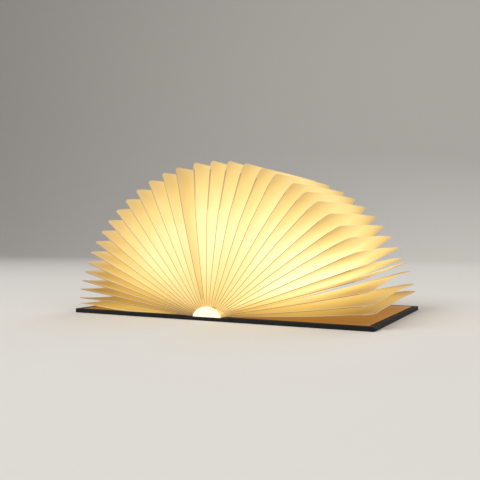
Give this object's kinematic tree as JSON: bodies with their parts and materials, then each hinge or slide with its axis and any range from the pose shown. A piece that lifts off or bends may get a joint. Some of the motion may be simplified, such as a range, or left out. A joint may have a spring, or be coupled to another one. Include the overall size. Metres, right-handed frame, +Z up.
{
  "type": "folding book lamp",
  "caption": "Free-standing lamp like a hardback book: its covers open flat and a block of translucent paper leaves fans out over a light core in the spine.",
  "frame": {"origin": "on the table under the middle of the spine, with the lamp open flat", "axes": "+X across the open covers to the right seen from the head, +Y along the spine from head to tail, +Z up"},
  "size_m": [0.2066, 0.122, 0.098],
  "materials": {
    "book_cloth": "fine woven book cloth, dyed black",
    "grey_board": "grey bookbinding board",
    "endpaper": "smooth brown endpaper",
    "leaf_paper": "spun fibre paper, translucent",
    "magnet": "nickel plated",
    "white_tray": "white, moulded",
    "frosted_cover": "frosted, lit from inside",
    "bright_steel": "plated",
    "cell_foil": "foil pouch",
    "foam_tape": "foam tape",
    "red_insulation": "wire insulation",
    "orange_insulation": "wire insulation",
    "green_laminate": "solder mask",
    "white_laminate": "white solder mask",
    "chip_black": "moulded",
    "led_yellow": "phosphor"
  },
  "bodies": {
    "spine": {"spine_board": "grey_board", "spine_cloth": "book_cloth", "core_tray": "white_tray", "core_diffuser": "frosted_cover", "head_end_cap": "frosted_cover", "tail_end_cap": "frosted_cover", "tray_rivets": "bright_steel", "battery": "cell_foil", "battery_pad": "foam_tape", "battery_leads": "red_insulation", "charge_board": "green_laminate", "charge_chips": "chip_black", "hall_switch": "chip_black", "charging_socket": "bright_steel", "led_boards": "white_laminate", "led_leads": "orange_insulation", "leds": "led_yellow"},
    "right_cover": {"right_cover_board": "grey_board", "right_cover_cloth": "book_cloth", "right_endpaper": "endpaper", "right_cover_magnets": "magnet"},
    "left_cover": {"left_cover_board": "grey_board", "left_cover_cloth": "book_cloth", "left_endpaper": "endpaper", "left_cover_magnets": "magnet", "switch_magnet": "magnet"},
    "page_01": {"leaf_01": "leaf_paper"},
    "page_02": {"leaf_02": "leaf_paper"},
    "page_03": {"leaf_03": "leaf_paper"},
    "page_04": {"leaf_04": "leaf_paper"},
    "page_05": {"leaf_05": "leaf_paper"},
    "page_06": {"leaf_06": "leaf_paper"},
    "page_07": {"leaf_07": "leaf_paper"},
    "page_08": {"leaf_08": "leaf_paper"},
    "page_09": {"leaf_09": "leaf_paper"},
    "page_10": {"leaf_10": "leaf_paper"},
    "page_11": {"leaf_11": "leaf_paper"},
    "page_12": {"leaf_12": "leaf_paper"},
    "page_13": {"leaf_13": "leaf_paper"},
    "page_14": {"leaf_14": "leaf_paper"},
    "page_15": {"leaf_15": "leaf_paper"},
    "page_16": {"leaf_16": "leaf_paper"},
    "page_17": {"leaf_17": "leaf_paper"},
    "page_18": {"leaf_18": "leaf_paper"},
    "page_19": {"leaf_19": "leaf_paper"},
    "page_20": {"leaf_20": "leaf_paper"},
    "page_21": {"leaf_21": "leaf_paper"},
    "page_22": {"leaf_22": "leaf_paper"},
    "page_23": {"leaf_23": "leaf_paper"},
    "page_24": {"leaf_24": "leaf_paper"},
    "page_25": {"leaf_25": "leaf_paper"},
    "page_26": {"leaf_26": "leaf_paper"},
    "page_27": {"leaf_27": "leaf_paper"},
    "page_28": {"leaf_28": "leaf_paper"},
    "page_29": {"leaf_29": "leaf_paper"},
    "page_30": {"leaf_30": "leaf_paper"},
    "page_31": {"leaf_31": "leaf_paper"},
    "page_32": {"leaf_32": "leaf_paper"},
    "page_33": {"leaf_33": "leaf_paper"}
  },
  "joints": [
    {"name": "right_cover_hinge", "type": "hinge", "parent": "spine", "child": "right_cover", "pos_m": [0.0123, 0, 0.0002], "axis": [0, -1, 0], "range_deg": [-97, 90]},
    {"name": "left_cover_hinge", "type": "hinge", "parent": "spine", "child": "left_cover", "pos_m": [-0.0123, 0, 0.0002], "axis": [0, 1, 0], "range_deg": [-97, 90]},
    {"name": "page_01_turn", "type": "hinge", "parent": "spine", "child": "page_01", "pos_m": [0.01234, 0, -0.00011], "axis": [0, -1, 0], "range_deg": [-93.6, 86.8]},
    {"name": "page_02_turn", "type": "hinge", "parent": "spine", "child": "page_02", "pos_m": [0.01239, 0, 0], "axis": [0, -1, 0], "range_deg": [-89.7, 83.3]},
    {"name": "page_03_turn", "type": "hinge", "parent": "spine", "child": "page_03", "pos_m": [0.01238, 0, 0.00017], "axis": [0, -1, 0], "range_deg": [-85.7, 79.6]},
    {"name": "page_04_turn", "type": "hinge", "parent": "spine", "child": "page_04", "pos_m": [0.01233, 0, 0.00041], "axis": [0, -1, 0], "range_deg": [-81.6, 75.7]},
    {"name": "page_05_turn", "type": "hinge", "parent": "spine", "child": "page_05", "pos_m": [0.01224, 0, 0.00071], "axis": [0, -1, 0], "range_deg": [-77.2, 71.6]},
    {"name": "page_06_turn", "type": "hinge", "parent": "spine", "child": "page_06", "pos_m": [0.01215, 0, 0.00107], "axis": [0, -1, 0], "range_deg": [-72.5, 67.3]},
    {"name": "page_07_turn", "type": "hinge", "parent": "spine", "child": "page_07", "pos_m": [0.0121, 0, 0.00148], "axis": [0, -1, 0], "range_deg": [-67.5, 62.6]},
    {"name": "page_08_turn", "type": "hinge", "parent": "spine", "child": "page_08", "pos_m": [0.01212, 0, 0.00192], "axis": [0, -1, 0], "range_deg": [-62.1, 57.7]},
    {"name": "page_09_turn", "type": "hinge", "parent": "spine", "child": "page_09", "pos_m": [0.01229, 0, 0.00237], "axis": [0, -1, 0], "range_deg": [-56.4, 52.4]},
    {"name": "page_10_turn", "type": "hinge", "parent": "spine", "child": "page_10", "pos_m": [0.01268, 0, 0.00283], "axis": [0, -1, 0], "range_deg": [-50.3, 46.7]},
    {"name": "page_11_turn", "type": "hinge", "parent": "spine", "child": "page_11", "pos_m": [0.01343, 0, 0.00327], "axis": [0, -1, 0], "range_deg": [-43.9, 40.8]},
    {"name": "page_12_turn", "type": "hinge", "parent": "spine", "child": "page_12", "pos_m": [0.01475, 0, 0.00368], "axis": [0, -1, 0], "range_deg": [-37.2, 34.6]},
    {"name": "page_13_turn", "type": "hinge", "parent": "spine", "child": "page_13", "pos_m": [0.01707, 0, 0.00404], "axis": [0, -1, 0], "range_deg": [-30.2, 28.1]},
    {"name": "page_14_turn", "type": "hinge", "parent": "spine", "child": "page_14", "pos_m": [0.02139, 0, 0.00433], "axis": [0, -1, 0], "range_deg": [-23, 21.3]},
    {"name": "page_15_turn", "type": "hinge", "parent": "spine", "child": "page_15", "pos_m": [0.03064, 0, 0.00455], "axis": [0, -1, 0], "range_deg": [-15.5, 14.4]},
    {"name": "page_16_turn", "type": "hinge", "parent": "spine", "child": "page_16", "pos_m": [0.05958, 0, 0.00469], "axis": [0, -1, 0], "range_deg": [-8, 7.4]},
    {"name": "page_17_lift", "type": "slide", "parent": "spine", "child": "page_17", "axis": [0, 0, 1], "range_m": [-0.0075, 0.00807]},
    {"name": "page_18_turn", "type": "hinge", "parent": "spine", "child": "page_18", "pos_m": [-0.05958, 0, 0.00469], "axis": [0, 1, 0], "range_deg": [-8, 7.4]},
    {"name": "page_19_turn", "type": "hinge", "parent": "spine", "child": "page_19", "pos_m": [-0.03064, 0, 0.00455], "axis": [0, 1, 0], "range_deg": [-15.5, 14.4]},
    {"name": "page_20_turn", "type": "hinge", "parent": "spine", "child": "page_20", "pos_m": [-0.02139, 0, 0.00433], "axis": [0, 1, 0], "range_deg": [-23, 21.3]},
    {"name": "page_21_turn", "type": "hinge", "parent": "spine", "child": "page_21", "pos_m": [-0.01707, 0, 0.00404], "axis": [0, 1, 0], "range_deg": [-30.2, 28.1]},
    {"name": "page_22_turn", "type": "hinge", "parent": "spine", "child": "page_22", "pos_m": [-0.01475, 0, 0.00368], "axis": [0, 1, 0], "range_deg": [-37.2, 34.6]},
    {"name": "page_23_turn", "type": "hinge", "parent": "spine", "child": "page_23", "pos_m": [-0.01343, 0, 0.00327], "axis": [0, 1, 0], "range_deg": [-43.9, 40.8]},
    {"name": "page_24_turn", "type": "hinge", "parent": "spine", "child": "page_24", "pos_m": [-0.01268, 0, 0.00283], "axis": [0, 1, 0], "range_deg": [-50.3, 46.7]},
    {"name": "page_25_turn", "type": "hinge", "parent": "spine", "child": "page_25", "pos_m": [-0.01229, 0, 0.00237], "axis": [0, 1, 0], "range_deg": [-56.4, 52.4]},
    {"name": "page_26_turn", "type": "hinge", "parent": "spine", "child": "page_26", "pos_m": [-0.01212, 0, 0.00192], "axis": [0, 1, 0], "range_deg": [-62.1, 57.7]},
    {"name": "page_27_turn", "type": "hinge", "parent": "spine", "child": "page_27", "pos_m": [-0.0121, 0, 0.00148], "axis": [0, 1, 0], "range_deg": [-67.5, 62.6]},
    {"name": "page_28_turn", "type": "hinge", "parent": "spine", "child": "page_28", "pos_m": [-0.01215, 0, 0.00107], "axis": [0, 1, 0], "range_deg": [-72.5, 67.3]},
    {"name": "page_29_turn", "type": "hinge", "parent": "spine", "child": "page_29", "pos_m": [-0.01224, 0, 0.00071], "axis": [0, 1, 0], "range_deg": [-77.2, 71.6]},
    {"name": "page_30_turn", "type": "hinge", "parent": "spine", "child": "page_30", "pos_m": [-0.01233, 0, 0.00041], "axis": [0, 1, 0], "range_deg": [-81.6, 75.7]},
    {"name": "page_31_turn", "type": "hinge", "parent": "spine", "child": "page_31", "pos_m": [-0.01238, 0, 0.00017], "axis": [0, 1, 0], "range_deg": [-85.7, 79.6]},
    {"name": "page_32_turn", "type": "hinge", "parent": "spine", "child": "page_32", "pos_m": [-0.01239, 0, 0], "axis": [0, 1, 0], "range_deg": [-89.7, 83.3]},
    {"name": "page_33_turn", "type": "hinge", "parent": "spine", "child": "page_33", "pos_m": [-0.01234, 0, -0.00011], "axis": [0, 1, 0], "range_deg": [-93.6, 86.8]}
  ],
  "couplings": [
    {"joint": "page_01_turn", "follows": "right_cover_hinge", "ratio": 0.96098},
    {"joint": "page_02_turn", "follows": "right_cover_hinge", "ratio": 0.92129},
    {"joint": "page_03_turn", "follows": "right_cover_hinge", "ratio": 0.88027},
    {"joint": "page_04_turn", "follows": "right_cover_hinge", "ratio": 0.83732},
    {"joint": "page_05_turn", "follows": "right_cover_hinge", "ratio": 0.79189},
    {"joint": "page_06_turn", "follows": "right_cover_hinge", "ratio": 0.74354},
    {"joint": "page_07_turn", "follows": "right_cover_hinge", "ratio": 0.6919},
    {"joint": "page_08_turn", "follows": "right_cover_hinge", "ratio": 0.63673},
    {"joint": "page_09_turn", "follows": "right_cover_hinge", "ratio": 0.57791},
    {"joint": "page_10_turn", "follows": "right_cover_hinge", "ratio": 0.51543},
    {"joint": "page_11_turn", "follows": "right_cover_hinge", "ratio": 0.44942},
    {"joint": "page_12_turn", "follows": "right_cover_hinge", "ratio": 0.38013},
    {"joint": "page_13_turn", "follows": "right_cover_hinge", "ratio": 0.3079},
    {"joint": "page_14_turn", "follows": "right_cover_hinge", "ratio": 0.23321},
    {"joint": "page_15_turn", "follows": "right_cover_hinge", "ratio": 0.15658},
    {"joint": "page_16_turn", "follows": "right_cover_hinge", "ratio": 0.078628},
    {"joint": "page_17_lift", "follows": "right_cover_hinge", "m_per_rad": -0.0046473},
    {"joint": "page_18_turn", "follows": "left_cover_hinge", "ratio": 0.078628},
    {"joint": "page_19_turn", "follows": "left_cover_hinge", "ratio": 0.15658},
    {"joint": "page_20_turn", "follows": "left_cover_hinge", "ratio": 0.23321},
    {"joint": "page_21_turn", "follows": "left_cover_hinge", "ratio": 0.3079},
    {"joint": "page_22_turn", "follows": "left_cover_hinge", "ratio": 0.38013},
    {"joint": "page_23_turn", "follows": "left_cover_hinge", "ratio": 0.44942},
    {"joint": "page_24_turn", "follows": "left_cover_hinge", "ratio": 0.51543},
    {"joint": "page_25_turn", "follows": "left_cover_hinge", "ratio": 0.57791},
    {"joint": "page_26_turn", "follows": "left_cover_hinge", "ratio": 0.63673},
    {"joint": "page_27_turn", "follows": "left_cover_hinge", "ratio": 0.6919},
    {"joint": "page_28_turn", "follows": "left_cover_hinge", "ratio": 0.74354},
    {"joint": "page_29_turn", "follows": "left_cover_hinge", "ratio": 0.79189},
    {"joint": "page_30_turn", "follows": "left_cover_hinge", "ratio": 0.83732},
    {"joint": "page_31_turn", "follows": "left_cover_hinge", "ratio": 0.88027},
    {"joint": "page_32_turn", "follows": "left_cover_hinge", "ratio": 0.92129},
    {"joint": "page_33_turn", "follows": "left_cover_hinge", "ratio": 0.96098}
  ]
}
